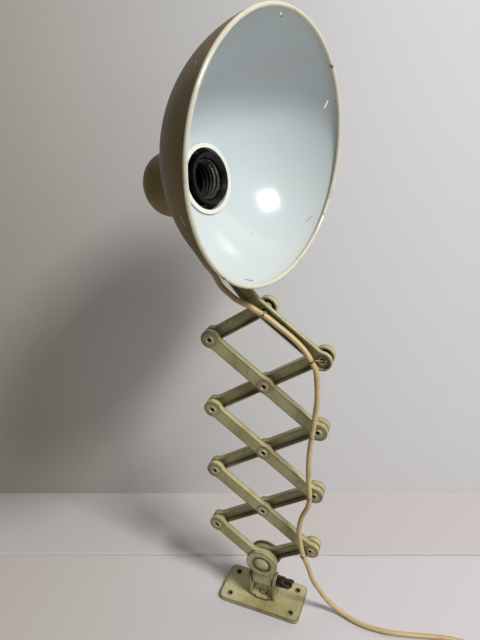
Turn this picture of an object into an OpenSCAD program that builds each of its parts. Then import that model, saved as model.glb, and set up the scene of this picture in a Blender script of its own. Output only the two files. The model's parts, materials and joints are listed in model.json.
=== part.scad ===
// Accordion desk lamp: a screwed base with a tilting knuckle, a scissor of pressed
// channel bars on hollow rivets, a cranked top arm and a spun shade on a joint that
// tilts and swivels, with its mains lead tied along the scissor.
// Millimetres. X runs along the base plate, -Y faces the viewer, Z is up, and the
// origin is the middle of the plate's underside.

/* [Base plate] */
// Length of the base plate
plate_w = 86; // [80:1:110]
// Depth of the base plate
plate_d = 43; // [40:1:60]
// Height of the pressed pan
plate_h = 5; // [4:0.5:8]
// Sheet thickness of the pan
plate_t = 1.5; // [1:0.1:2]
// Corner radius of the plate
plate_corner_r = 6; // [4:0.5:7]
// Screw hole spacing along the plate
screw_dx = 66.5; // [60:0.5:68]
// Screw hole spacing across the plate
screw_dy = 27.5; // [26:0.5:30]
// Diameter of the screw holes
screw_hole_d = 5; // [4:0.1:6]

/* [Clevis and hinge bolt] */
// Clear gap between the ears
clevis_gap = 22.6; // [22:0.1:24]
// Thickness of the clevis strip
ear_t = 2; // [1.5:0.1:2.5]
// Width of an ear
ear_w = 16; // [15:0.5:20]
// Height of the bolt above the plate
hinge_h = 24; // [22:0.5:27]
// Reach of the small tab in front of the clevis
tab_reach = 1.8; // [1:0.1:3]
// Diameter of the hinge bolt
hinge_bolt_d = 6; // [5:0.5:6]
// Reach of the wings of the wing nut
wing_r = 13; // [11:0.5:14]
// Length of the wing nut along the bolt
wing_len = 17; // [14:0.5:20]

/* [Knuckle] */
// Width of the knuckle strap
strap_w = 20; // [18:0.5:21]
// Thickness of the knuckle strap
strap_t = 1.5; // [1.2:0.1:2]
// Diameter of the knuckle discs
knuckle_disc_d = 32; // [30:0.5:36]
// Height of the scissor axle above the hinge bolt
axle_h = 28; // [26:0.5:32]
// Diameter of the scissor axle
axle_d = 8; // [7:0.5:9]

/* [Scissor bars] */
// Distance from the middle pivot to an end pivot
link_a = 60; // [56:0.5:64]
// Slope of the bars above level at rest
bar_slope = 36.5; // [34:0.5:38]
// Width of a bar
bar_w = 11.5; // [10.5:0.5:12.5]
// Diameter of the rounded bar ends
bar_end_d = 16; // [15:0.5:17]
// Diameter of the swelling round the middle pivot
bar_mid_d = 14.5; // [13.5:0.5:15.5]
// Diameter of the flared ends at the knuckle
flare_d = 29; // [27:0.5:29.5]
// Depth of a pressed channel
bar_depth = 5.7; // [5:0.1:6]
// Sheet thickness of the bars
sheet_t = 1.2; // [1:0.1:1.5]
// Height of the pressed boss round a pivot
boss_h = 0.4; // [0.3:0.1:0.5]
// Diameter of the pressed boss
boss_d = 12; // [11:0.5:13]

/* [Hollow rivets] */
// Outer diameter of a rivet
rivet_d = 6; // [5.5:0.1:6.5]
// Bore of a rivet
rivet_bore_d = 4.2; // [3.8:0.1:4.4]
// Diameter of the rolled rivet head
rivet_head_d = 8.2; // [7.8:0.1:9]
// Height of the rolled rivet head
rivet_head_h = 0.6; // [0.5:0.1:0.7]

/* [Top arm] */
// Width of the top arm
arm_w = 12; // [11.5:0.5:13]
// Depth of its channel over the web
arm_flange_h = 4.2; // [3.5:0.1:4.2]
// Straight run past the last pivot
arm_run = 12; // [6:0.5:16]
// Angle of the crank
arm_bend = 13.5; // [10:0.5:18]
// Straight run after the crank
arm_tip = 61.4; // [58:0.2:64]
// Diameter of the round tip
arm_tip_d = 20; // [18:0.5:20]

/* [Head joint] */
// Diameter of the tilt bolt
tilt_bolt_d = 6; // [5:0.5:6]
// Diameter of the tilt block
tilt_block_d = 16; // [14:0.5:16]
// Width of the tilt block along its bolt
tilt_block_w = 9; // [8:0.5:10]
// Diameter of the swivel pin
swivel_pin_d = 6; // [5:0.5:6]
// Turn of the shade out of the scissor plane
head_turn = -16; // [-20:1:0]

/* [Shade] */
// Diameter of the rim
shade_d = 178; // [170:1:190]
// Depth of the shade
shade_depth = 68.5; // [62:0.5:72]
// Sheet thickness of the shade
shade_t = 1; // [0.8:0.1:1.5]
// Diameter of the rolled rim bead
rim_bead_d = 3; // [2.6:0.1:3.5]
// Tip of the shade axis above level
shade_rise = 1.4; // [0:0.1:3]
// Number of vent slits
slit_count = 6; // [4:1:8]
// Length of a vent slit
slit_l = 7; // [5:0.5:9]
// Width of a vent slit
slit_w = 1.4; // [1:0.1:2]
// Angle of the slits from the shade axis
slit_angle = 69; // [66:0.5:70]

/* [Lampholder and rear cap] */
// Height of the lampholder axis over the tilt bolt
holder_up = 43.4; // [42:0.2:45]
// Forward place of the lampholder mouth
holder_forward = 3.7; // [2.7:0.2:5.7]
// Tip of the lampholder axis above level
holder_rise = 14; // [12:0.5:15]
// Outer diameter of the rear cap
cap_d = 50; // [49.6:0.2:51]
// Length of the rear cap behind the mouth
cap_len = 54; // [52:0.5:58]
// Corner radius of the rear cap
cap_round_r = 17; // [14:0.5:18]
// Sheet thickness of the cap
cap_t = 1; // [0.8:0.1:1.2]
// Bore of the shade ring
ring_bore_d = 44.6; // [44:0.2:45]
// Outer diameter of the lampholder skirt
skirt_d = 37; // [36:0.5:37.4]
// Bore of the lamp thread
thread_d = 26.6; // [26.2:0.1:27]
// Depth of the threaded shell
thread_len = 18.5; // [16:0.5:19]

/* [Mains lead] */
// Diameter of the lead
cord_d = 5.5; // [5:0.1:5.6]
// Radius of the coil's inner turn
coil_in_r = 24; // [23:0.5:26]
// Step from turn to turn and layer to layer
coil_step = 6; // [6:0.1:6.5]
// Width of the plug
plug_w = 27; // [24:0.5:30]
// Length of the plug body
plug_len = 36; // [32:0.5:40]
// Diameter of a plug pin
pin_d = 4; // [4:0.1:4.8]
// Length of a plug pin
pin_len = 19; // [18:0.5:19.5]

/* [Hidden] */
$fn = 64;

cream = [0.80, 0.76, 0.60];
enamel = [0.87, 0.91, 0.90];
bright_metal = [0.75, 0.73, 0.66];
dark_metal = [0.20, 0.16, 0.13];
black_bakelite = [0.06, 0.05, 0.05];
cord_colour = [0.83, 0.75, 0.55];

// Clearances
run_fit = 0.05;       // radial play of a pin in its hole
layer_gap = 0.3;      // from the middle plane to a bar's open edge
side_play = 0.2;      // end play of what sits between two plates
seat = 0.03;          // between shells of one body that follow each other
eps = 0.01;

// Heights and places of the pivots
hinge_z = plate_h + hinge_h;
axle_z = hinge_z + axle_h;
half_pitch = link_a * sin(bar_slope);
half_span = link_a * cos(bar_slope);
web_y = layer_gap + bar_depth;         // outer face of a bar's web
inner_y = web_y - sheet_t;             // inner face of a bar's web
leaf_y = web_y + layer_gap;            // inner face of a knuckle leaf
ear_x = clevis_gap / 2;

// Middle pivots count up from the axle, side pivots lie half a pitch higher
function mid_pivot(i) = [0, 0, axle_z + 2 * half_pitch * i];
function left_pivot(i) = [-half_span, 0, axle_z + half_pitch * (2 * i + 1)];
function right_pivot(i) = [half_span, 0, axle_z + half_pitch * (2 * i + 1)];
front_angle = 180 - bar_slope;         // from the right end up to the left end
back_angle = bar_slope;                // from the left end up to the right end

// The arm's path in its own plane, u along the bar and v down to the left
arm_end_u = link_a + arm_run;
tip_angle = front_angle - arm_bend;
function in_plane(p, a, u) = [p[0] + u * cos(a), p[1], p[2] + u * sin(a)];
tilt_pivot = in_plane(in_plane(right_pivot(3), front_angle, arm_end_u), tip_angle, arm_tip);

// Shade sphere, from the rim diameter and the depth
shade_r = shade_d / 2;
sphere_r = (shade_r * shade_r + shade_depth * shade_depth) / (2 * shade_depth);
rim_ahead = 59;                        // rim plane ahead of the lampholder mouth
holder_drop = 21;                      // lampholder mouth below the shade axis
rim_centre = [holder_forward + rim_ahead * cos(shade_rise) - holder_drop * sin(shade_rise),
  0, holder_up + rim_ahead * sin(shade_rise) + holder_drop * cos(shade_rise)];
sphere_ahead = sphere_r - shade_depth;

// Underside of the cap straight over the tilt bolt
cap_r = cap_d / 2;
holder_back = (holder_forward + cap_r * sin(holder_rise)) / cos(holder_rise);
cap_under = holder_up - holder_back * sin(holder_rise) - cap_r * cos(holder_rise);
block_top = arm_tip_d / 2 + 0.4;
boss_top = cap_under + 1.6;
swivel_nut_h = 1.8;

cord_r = cord_d / 2;
tie_wire_d = 0.7;

// Route of the lead, from the grommet down the scissor to the floor
HEAD_ROUTE = [[-63, 4, 405.6], [-61.8, 3.6, 400.3], [-61.3, 1, 393.5], [-58, -2.6, 386.3],
  [-52.5, -5.6, 380], [-47, -7.2, 374.6], [-41.1, -8, 369.1], [-34.1, -9, 359.1],
  [-27.6, -10, 354.4], [-20.3, -11.8, 350.9], [-14.4, -12, 348.8], [-8.8, -11.6, 346.6],
  [-4.3, -10.9, 343.6]];
ARM_ROUTE = [[1, -10.6, 341], [11.5, -9.6, 333.5], [24.1, -9.6, 324.7],
  [34.2, -10.4, 316.1], [38, -11.9, 312.5]];
SPAN_1_ROUTE = [[41, -12.6, 308], [44.6, -11.8, 301], [46, -10.8, 289.4], [47, -10.2, 271.9],
  [45.9, -10.2, 253.6]];
SPAN_2_ROUTE = [[44.4, -10.6, 233.7], [43.3, -10.2, 220.3], [42.9, -10, 205], [43.4, -10, 190.1],
  [44.5, -10.3, 176.4]];
SPAN_3_ROUTE = [[45.5, -10.6, 165.2], [44.8, -10.2, 155.6], [39.6, -10, 139.2],
  [37.2, -10, 122.9], [38.8, -10.2, 107.8]];
DROP_ROUTE = [[42.9, -10.6, 89.5], [48, -9.2, 74.7], [51.6, -8, 60.8], [54, -6, 52],
  [58.8, -3, 40], [64.5, 1.5, 24.5], [72.3, 5, 11.6], [82.5, 5.2, 4.8], [92.7, 2.9, 2.75],
  [102, 1.1, 2.75], [111.3, 0.5, 2.75], [129.8, 1.8, 2.75], [142, 4.4, 2.75], [154.2, 7.6, 2.75],
  [177.4, 13.8, 2.75], [195.5, 17, 2.75], [214, 16.2, 2.75]];
COIL_CENTRE = [238, -24, 2.75];
coil_half_turns = 5;                   // half turns in each layer
coil_out_r = coil_in_r + coil_step * coil_half_turns / 2;
coil_start = COIL_CENTRE + [0, coil_out_r, 0];
coil_rings = 24;                       // rings in a turn
coil_lead = [coil_start - [2 * cord_d, 0, 0], coil_start - [cord_d, 0, 0]];
ROUTE = concat(HEAD_ROUTE, ARM_ROUTE, SPAN_1_ROUTE, SPAN_2_ROUTE, SPAN_3_ROUTE, DROP_ROUTE,
  coil_lead, [coil_start]);
at_c1 = len(HEAD_ROUTE);
at_r1 = at_c1 + len(ARM_ROUTE);
at_r2 = at_r1 + len(SPAN_1_ROUTE);
at_r3 = at_r2 + len(SPAN_2_ROUTE);
at_r4 = at_r3 + len(SPAN_3_ROUTE);
at_coil = at_r4 + len(DROP_ROUTE) + 1;

// ---------- helpers ----------

function unit(v) = v / norm(v);

// Direction of a route at point i, from its neighbours
function heading(p, i) = unit(p[min(i + 1, len(p) - 1)] - p[max(i - 1, 0)]);

// Corner points of the ring round route point i, square to the route
function ring(p, i, r, sides, up) =
  let (t = heading(p, i), a = unit(cross(t, up)), b = cross(a, t))
    [for (k = [0:sides - 1]) p[i] + r * (cos(360 * k / sides) * a + sin(360 * k / sides) * b)];

// Tube along route points first to last as one closed polyhedron
module tube_along(p, first, last, r, sides, up) {
  n = last - first;
  points = [for (i = [first:last]) each ring(p, i, r, sides, up)];
  start_cap = [for (k = [1:sides - 2]) [0, k, k + 1]];
  end_cap = [for (k = [1:sides - 2]) [n * sides, n * sides + k + 1, n * sides + k]];
  walls = [for (i = [0:n - 1], k = [0:sides - 1])
    let (a = i * sides + k, b = i * sides + (k + 1) % sides, c = a + sides, d = b + sides)
      each [[a, c, d], [a, d, b]]];
  polyhedron(points, concat(start_cap, end_cap, walls));
}

// Flat outline with round corners
module round_rect(w, d, r) {
  square([w - 2 * r, d], center = true);
  square([w, d - 2 * r], center = true);
  for (x = [-1, 1], y = [-1, 1]) translate([x * (w / 2 - r), y * (d / 2 - r)]) circle(r);
}

// Round swelling on a bar of width w, blended by a fillet f into the edges that leave it;
// the fillet cuts a hair into both, so that no cusp is left between them
module swelling(r, w, f, leaving) {
  lap = 0.02;
  rise = w / 2 + f - lap;
  reach = sqrt(pow(r + f - lap, 2) - rise * rise);
  circle(r);
  for (x = leaving, y = [-1, 1]) difference() {
    polygon([[0, 0], [0, -y], [x * reach, -y], [x * reach, y * rise]]);
    translate([x * reach, y * rise]) circle(f);
  }
}

// Outline of a bar with a swelling at each stop, drawn in by inset
module bar_outline(stops, w, f, inset) {
  first = stops[0][0];
  last = stops[len(stops) - 1][0];
  translate([first, inset - w / 2]) square([last - first, w - 2 * inset]);
  for (s = stops) translate([s[0], 0])
    swelling(s[1] / 2 - inset, w - 2 * inset, f + inset,
      s[0] == first ? [1] : s[0] == last ? [-1] : [-1, 1]);
}

// Pressed channel, web up at depth, open edge at 0, a hole at each stop
module pressed_bar(stops, w, depth, f, bossed) {
  difference() {
    union() {
      linear_extrude(depth) bar_outline(stops, w, f, 0);
      if (bossed) for (s = stops) if (s[2] < axle_d)
        translate([s[0], 0, depth]) cylinder(d = boss_d, h = boss_h);
    }
    translate([0, 0, -1]) linear_extrude(depth - sheet_t + 1) bar_outline(stops, w, f, sheet_t);
    for (s = stops) translate([s[0], 0, -1]) cylinder(r = s[2] / 2 + run_fit, h = depth + 3);
  }
}

// Carries a bar into the front layer, local x along angle a in the X-Z plane
module front_layer(p, a) {
  translate(p) rotate([0, -a, 0]) rotate([90, 0, 0]) translate([0, 0, layer_gap]) children();
}

module back_layer(p, a) {
  translate(p) rotate([0, -a, 0]) rotate([-90, 0, 0]) translate([0, 0, layer_gap]) children();
}

FULL_STOPS = [[0, bar_end_d, rivet_d], [link_a, bar_mid_d, rivet_d],
  [2 * link_a, bar_end_d, rivet_d]];
HALF_STOPS = [[0, flare_d, axle_d], [link_a, bar_end_d, rivet_d]];
TOP_HALF_STOPS = [[0, bar_end_d, rivet_d], [link_a, bar_end_d, rivet_d]];
bar_fillet = 9;

// Hollow rivet along Y through both layers, with a collar between the webs
module hollow_rivet(p, front_face) {
  collar_y = inner_y - side_play / 2;
  back_face = web_y + boss_h;
  translate(p) rotate([90, 0, 0]) rotate_extrude() {
    bore = rivet_bore_d / 2;
    translate([bore, -back_face - rivet_head_h])
      square([rivet_d / 2 - bore, front_face + back_face + 2 * rivet_head_h]);
    translate([bore, -collar_y]) square([rivet_head_d / 2 - bore, 2 * collar_y]);
    translate([bore, front_face]) square([rivet_head_d / 2 - bore - 0.3, rivet_head_h]);
    translate([bore, -back_face - rivet_head_h])
      square([rivet_head_d / 2 - bore - 0.3, rivet_head_h]);
  }
}

// Wire loop round the lead, leaning with it, its tail led into the pivot's hollow rivet
module wire_tie(lead, pivot, lean) {
  loop_r = cord_r + 0.1 + tie_wire_d / 2;
  out = [cos(lean), 0, -sin(lean)];
  tail = pivot + (rivet_bore_d / 2 - tie_wire_d / 2 - 0.2) * out;
  knee = tail - [0, web_y + boss_h + rivet_head_h + 0.6, 0];
  loop = [for (a = [30:30:360]) lead + loop_r * (cos(a) * out + [0, sin(a), 0])];
  path = concat(loop, [knee, tail]);
  tube_along(path, 0, len(path) - 1, tie_wire_d / 2, 6, [sin(lean), 0, cos(lean)]);
}

// ---------- base ----------

// Pressed pan with a sleeve round each screw hole
module base_plate() {
  color(cream) difference() {
    union() {
      difference() {
        linear_extrude(plate_h) round_rect(plate_w, plate_d, plate_corner_r);
        translate([0, 0, -1]) linear_extrude(plate_h - plate_t + 1)
          round_rect(plate_w - 2 * plate_t, plate_d - 2 * plate_t, plate_corner_r - plate_t);
      }
      for (x = [-1, 1], y = [-1, 1]) translate([x * screw_dx / 2, y * screw_dy / 2, 0])
        cylinder(d = screw_hole_d + 4, h = plate_h - plate_t / 2);
    }
    for (x = [-1, 1], y = [-1, 1]) translate([x * screw_dx / 2, y * screw_dy / 2, -1])
      cylinder(d = screw_hole_d, h = plate_h + 2);
    translate([0, 0, -1]) cylinder(d = rivet_d + 2 * run_fit, h = plate_h + 2);
  }
}

module clevis() {
  base_half = ear_x + ear_t;
  color(cream) difference() {
    union() {
      translate([-base_half, -ear_w / 2, plate_h]) cube([2 * base_half, ear_w, ear_t]);
      translate([-ear_w * 0.4, -ear_w / 2 - tab_reach, plate_h]) cube([ear_w * 0.8, ear_w, ear_t]);
      for (x = [-base_half, ear_x]) translate([x, 0, 0]) rotate([90, 0, 90])
        linear_extrude(ear_t) {
          translate([-ear_w / 2, plate_h]) square([ear_w, hinge_h]);
          translate([0, hinge_z]) circle(d = ear_w);
        }
    }
    translate([-base_half - 1, 0, hinge_z]) rotate([0, 90, 0])
      cylinder(r = hinge_bolt_d / 2 + run_fit, h = 2 * base_half + 2);
    translate([0, 0, plate_h - 1]) cylinder(d = rivet_d + 2 * run_fit, h = ear_t + 2);
  }
}

module base_rivet() {
  color(bright_metal) {
    translate([0, 0, plate_h - plate_t - 1.2]) cylinder(d = rivet_d + 4, h = 1.2);
    translate([0, 0, plate_h - plate_t - eps]) cylinder(d = rivet_d, h = plate_t + ear_t + 2 * eps);
    translate([0, 0, plate_h + ear_t]) intersection() {
      translate([0, 0, 2.2 - 7]) sphere(7);
      cylinder(r = 7, h = 7);
    }
  }
}

module hinge_bolt() {
  bolt_start = -ear_x - ear_t;
  color(dark_metal) translate([0, 0, hinge_z]) rotate([0, 90, 0]) {
    translate([0, 0, bolt_start]) cylinder(d = hinge_bolt_d, h = 2 * ear_x + 2 * ear_t + wing_len);
    translate([0, 0, bolt_start]) intersection() {
      translate([0, 0, 5.2]) sphere(8);
      translate([0, 0, -3]) cylinder(r = 8, h = 3);
    }
  }
}

washer_t = 1;
module hinge_washer() {
  color(bright_metal) translate([ear_x + ear_t, 0, hinge_z]) rotate([0, 90, 0]) difference() {
    cylinder(d = hinge_bolt_d + 7, h = washer_t);
    translate([0, 0, -1]) cylinder(r = hinge_bolt_d / 2 + run_fit, h = washer_t + 2);
  }
}

// Wings in the plane of the bolt, swept outwards from the hub
module wing_nut() {
  hub_r = hinge_bolt_d / 2 + 2.6;
  hub_len = 0.5 * wing_len;
  wing_t = 2.8;
  color(dark_metal) translate([ear_x + ear_t + washer_t, 0, hinge_z]) rotate([55, 0, 0])
    difference() {
      union() {
        rotate([0, 90, 0]) cylinder(r = hub_r, h = hub_len);
        for (side = [-1, 1]) translate([0, wing_t / 2, 0]) rotate([90, 0, 0])
          linear_extrude(wing_t) {
            polygon([[0.8, 0], [1.6, side * hub_r * 1.05], [wing_len * 0.55, side * wing_r * 0.82],
              [wing_len * 0.74, side * wing_r * 0.98], [wing_len * 0.92, side * wing_r * 0.92],
              [wing_len, side * wing_r * 0.72], [wing_len * 0.93, side * wing_r * 0.56],
              [hub_len, side * hub_r * 0.7], [hub_len, 0]]);
          }
      }
      translate([-1, 0, 0]) rotate([0, 90, 0])
        cylinder(r = hinge_bolt_d / 2 + run_fit, h = wing_len + 2);
    }
}

// ---------- knuckle ----------

bead_h = 1.3;
dome_d = 17;
bend_r = leaf_y;
module knuckle() {
  color(cream) {
    for (side = [-1, 1]) difference() {
      union() {
        translate([0, side * leaf_y, 0]) mirror([0, side < 0 ? 1 : 0, 0]) rotate([90, 0, 0])
          mirror([0, 0, 1]) linear_extrude(strap_t) {
            translate([-strap_w / 2, hinge_z]) square([strap_w, axle_h]);
            translate([0, axle_z]) rotate(90) swelling(knuckle_disc_d / 2, strap_w, 6, [-1]);
          }
        if (side < 0) translate([0, -leaf_y - strap_t, axle_z]) rotate([90, 0, 0]) difference() {
          cylinder(d = knuckle_disc_d, h = bead_h);
          translate([0, 0, -1]) cylinder(d = dome_d + 2.4, h = bead_h + 2);
        }
      }
      translate([0, 0, axle_z]) rotate([90, 0, 0])
        cylinder(r = axle_d / 2 + run_fit, h = 40, center = true);
      translate([-strap_w, -20, hinge_z - 20]) cube([2 * strap_w, 40, 20]);
    }
    translate([0, 0, hinge_z]) rotate([0, 90, 0]) difference() {
      cylinder(r = bend_r + strap_t, h = strap_w, center = true);
      cylinder(r = bend_r, h = strap_w + 2, center = true);
      translate([-30, -15, -strap_w]) cube([30, 30, 2 * strap_w]);
    }
  }
}

module hinge_bush() {
  color(bright_metal) translate([0, 0, hinge_z]) rotate([0, 90, 0]) difference() {
    cylinder(r = bend_r - seat, h = clevis_gap - 2 * side_play, center = true);
    cylinder(r = hinge_bolt_d / 2 + run_fit, h = clevis_gap + 2, center = true);
  }
}

// Shouldered axle with a domed head in front, seated on the front leaf
module scissor_axle() {
  front_face = leaf_y + strap_t;
  dome_h = 2.6;
  dome_r = (dome_d * dome_d / 4 + dome_h * dome_h) / (2 * dome_h);
  color(cream) translate([0, 0, axle_z]) rotate([90, 0, 0]) {
    translate([0, 0, -front_face - 5]) cylinder(d = axle_d, h = 2 * front_face + 5);
    translate([0, 0, front_face]) intersection() {
      translate([0, 0, dome_h - dome_r]) sphere(dome_r, $fn = 96);
      cylinder(d = dome_d, h = dome_h + 1);
    }
  }
}

module axle_nut() {
  color(dark_metal) translate([0, leaf_y + strap_t, axle_z]) rotate([-90, 0, 0]) difference() {
    cylinder(d = axle_d + 7, h = 4, $fn = 6);
    translate([0, 0, -1]) cylinder(r = axle_d / 2 + seat, h = 6);
  }
}

// ---------- scissor ----------

module front_half_bar() {
  color(cream) front_layer(mid_pivot(0), front_angle)
    pressed_bar(HALF_STOPS, bar_w, bar_depth, bar_fillet, true);
}

module back_half_bar() {
  color(cream) back_layer(mid_pivot(0), back_angle)
    pressed_bar(HALF_STOPS, bar_w, bar_depth, bar_fillet, true);
}

module front_bar(i) {
  color(cream) front_layer(right_pivot(i), front_angle)
    pressed_bar(FULL_STOPS, bar_w, bar_depth, bar_fillet, true);
}

module back_bar(i) {
  color(cream) back_layer(left_pivot(i), back_angle)
    pressed_bar(FULL_STOPS, bar_w, bar_depth, bar_fillet, true);
}

module top_half_bar() {
  color(cream) back_layer(left_pivot(3), back_angle)
    pressed_bar(TOP_HALF_STOPS, bar_w, bar_depth, bar_fillet, true);
}

module scissor_rivets(i) {
  color(bright_metal) {
    hollow_rivet(right_pivot(i), web_y + boss_h);
    hollow_rivet(mid_pivot(i + 1), web_y + boss_h);
    hollow_rivet(left_pivot(i + 1), web_y + boss_h);
  }
}

module half_bar_rivet() {
  color(bright_metal) hollow_rivet(left_pivot(0), web_y + boss_h);
}

// ---------- top arm ----------

// Far end of the arm in its own plane
arm_tip_at = [arm_end_u + arm_tip * cos(arm_bend), -arm_tip * sin(arm_bend)];

// Cranked outline: two straight runs with a mitred corner, drawn in by inset
module arm_outline(inset) {
  half = arm_w / 2 - inset;
  mitre = half * tan(arm_bend / 2);
  side = half * [sin(arm_bend), cos(arm_bend)];
  polygon([[0, -half], [arm_end_u - mitre, -half], arm_tip_at - side, arm_tip_at + side,
    [arm_end_u + mitre, half], [0, half]]);
  translate(arm_tip_at) rotate(-arm_bend)
    swelling(arm_tip_d / 2 - inset, 2 * half, bar_fillet + inset, [-1]);
  swelling(bar_end_d / 2 - inset, 2 * half, bar_fillet + inset, [1]);
}

module lamp_arm() {
  inside_w = arm_w - 2 * sheet_t;
  color(cream) translate(right_pivot(3)) rotate([0, -front_angle, 0]) rotate([90, 0, 0])
    difference() {
      union() {
        difference() {
          translate([0, 0, inner_y]) linear_extrude(arm_flange_h) arm_outline(0);
          translate([0, 0, web_y]) linear_extrude(arm_flange_h) arm_outline(sheet_t);
        }
        for (u = [0, link_a]) translate([u, 0, inner_y + eps])
          cylinder(d = inside_w - 0.4, h = sheet_t + boss_h - eps);
        translate([arm_tip_at[0], arm_tip_at[1], inner_y + eps])
          cylinder(d = arm_tip_d - 2 * sheet_t - 4, h = sheet_t + boss_h - eps);
      }
      for (u = [0, link_a]) translate([u, 0, 0]) cylinder(r = rivet_d / 2 + run_fit, h = 20);
      translate(arm_tip_at) cylinder(r = tilt_bolt_d / 2 + run_fit, h = 20);
    }
}

module arm_rivets() {
  color(bright_metal) {
    hollow_rivet(right_pivot(3), web_y + boss_h);
    hollow_rivet(mid_pivot(4), web_y + boss_h);
  }
}

// ---------- head joint ----------

module at_tilt() {
  translate(tilt_pivot) children();
}

module at_head() {
  translate(tilt_pivot) rotate([0, 0, head_turn]) children();
}

block_y = tilt_block_w / 2;
module tilt_bolt() {
  head_y = web_y + boss_h;
  color(dark_metal) at_tilt() rotate([90, 0, 0]) {
    translate([0, 0, -block_y - 8]) cylinder(d = tilt_bolt_d, h = head_y + block_y + 8);
    translate([0, 0, head_y]) cylinder(d = tilt_bolt_d + 5, h = 2.4);
  }
}

// Knurled clamping nut behind the block
module tilt_nut() {
  flutes = 12;
  color(dark_metal) at_tilt() rotate([-90, 0, 0]) translate([0, 0, block_y + side_play])
    difference() {
      cylinder(d = tilt_block_d, h = 6);
      translate([0, 0, -1]) cylinder(r = tilt_bolt_d / 2 + seat, h = 8);
      for (k = [0:flutes - 1]) rotate(360 * k / flutes)
        translate([tilt_block_d / 2 + 0.6, 0, -1]) cylinder(r = 1.3, h = 8, $fn = 16);
    }
}

module tilt_block() {
  color(cream) at_tilt() difference() {
    union() {
      rotate([90, 0, 0]) translate([0, 0, -block_y]) cylinder(d = tilt_block_d, h = tilt_block_w);
      intersection() {
        cylinder(d = tilt_block_w + 1, h = block_top);
        translate([-20, -block_y, 0]) cube([40, tilt_block_w, 20]);
      }
      cylinder(d = swivel_pin_d, h = boss_top + swivel_nut_h + 0.3);
    }
    rotate([90, 0, 0]) cylinder(r = tilt_bolt_d / 2 + run_fit, h = 20, center = true);
  }
}

module swivel_nut() {
  color(dark_metal) at_tilt() translate([0, 0, boss_top + 0.1]) difference() {
    cylinder(d = 10, h = swivel_nut_h, $fn = 6);
    translate([0, 0, -1]) cylinder(r = swivel_pin_d / 2 + seat, h = 5);
  }
}

boss_r = swivel_pin_d / 2 + 3;
module swivel_boss() {
  color(cream) at_head() difference() {
    translate([0, 0, block_top + 0.1]) cylinder(r = boss_r, h = boss_top - block_top - 0.1);
    cylinder(r = swivel_pin_d / 2 + run_fit, h = 40);
  }
}

// ---------- head ----------

// Lampholder frame: origin at the mouth, +Z forward along the lamp
module at_holder() {
  at_head() translate([holder_forward, 0, holder_up]) rotate([0, 90 - holder_rise, 0]) children();
}

module at_sphere() {
  at_head() translate(rim_centre) rotate([0, 90 - shade_rise, 0])
    translate([0, 0, sphere_ahead]) children();
}

module shade_ball(r) {
  at_sphere() sphere(r, $fn = 128);
}

ring_neck_t = 1.2;
ring_neck_len = 4.3;                   // neck behind the mouth, clear of the swivel nut
shade_hole_r = ring_bore_d / 2 + ring_neck_t + seat;
module shade() {
  color(cream) difference() {
    union() {
      difference() {
        shade_ball(sphere_r);
        shade_ball(sphere_r - shade_t);
        at_sphere() translate([-2 * shade_r, -2 * shade_r, -sphere_ahead])
          cube([4 * shade_r, 4 * shade_r, 3 * shade_r]);
      }
      at_sphere() translate([0, 0, -sphere_ahead]) rotate_extrude($fn = 128)
        translate([shade_r - rim_bead_d / 2, 0]) circle(d = rim_bead_d, $fn = 24);
    }
    at_holder() translate([0, 0, -30]) cylinder(r = shade_hole_r, h = 40);
    for (k = [0:slit_count - 1]) at_sphere() rotate([0, 0, 106 + 360 * k / slit_count])
      rotate([0, 180 - slit_angle, 0]) translate([0, 0, sphere_r]) rotate([0, 0, 90 + 30])
        translate([-slit_l / 2, -slit_w / 2, -6]) cube([slit_l, slit_w, 10]);
  }
}

// Screwed collar that clamps the shade to the cap
ring_lip_r = ring_bore_d / 2 + 3.2;
module shade_ring() {
  color(enamel) difference() {
    at_holder() translate([0, 0, -ring_neck_len]) cylinder(r = ring_lip_r, h = ring_neck_len);
    at_holder() translate([0, 0, -20]) cylinder(d = ring_bore_d, h = 30);
    difference() {
      at_holder() translate([0, 0, -12]) cylinder(r = ring_lip_r + 5, h = 20);
      shade_ball(sphere_r - shade_t - seat);
      at_holder() translate([0, 0, -14]) cylinder(r = ring_bore_d / 2 + ring_neck_t, h = 24);
    }
  }
}

module cap_outline(r, back, corner) {
  intersection() {
    union() {
      translate([0, -back + corner]) square([r, back - corner + 12]);
      translate([0, -back]) square([r - corner, back]);
      translate([r - corner, -back + corner]) circle(corner);
    }
    translate([0, -100]) square([100, 200]);
  }
}

grommet_back = 26;                     // grommet behind the mouth
module at_grommet() {
  at_holder() translate([cap_r, 0, -grommet_back]) rotate([0, 90, 0]) children();
}

grommet_neck_r = 4;
module rear_cap() {
  color(cream) difference() {
    at_holder() rotate_extrude($fn = 96) cap_outline(cap_r, cap_len, cap_round_r);
    at_holder() rotate_extrude($fn = 96)
      cap_outline(cap_r - cap_t, cap_len - cap_t, cap_round_r - cap_t);
    at_holder() translate([0, 0, -2]) cylinder(r = cap_r + 5, h = 30);
    shade_ball(sphere_r + seat);
    at_head() translate([0, 0, 5]) cylinder(r = boss_r + seat, h = cap_under);
    at_grommet() translate([0, 0, -5]) cylinder(r = grommet_neck_r + seat, h = 10);
  }
}

module cord_grommet() {
  color(black_bakelite) at_grommet() {
    translate([0, 0, -cap_t - 1.9]) cylinder(r = grommet_neck_r + 1, h = 1.2);
    translate([0, 0, -cap_t - 0.8]) cylinder(r = grommet_neck_r, h = cap_t + 1);
    translate([0, 0, 0.1]) cylinder(r1 = grommet_neck_r + 1, r2 = cord_r + 0.3, h = 3.9);
  }
}

// ---------- lampholder ----------

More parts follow.
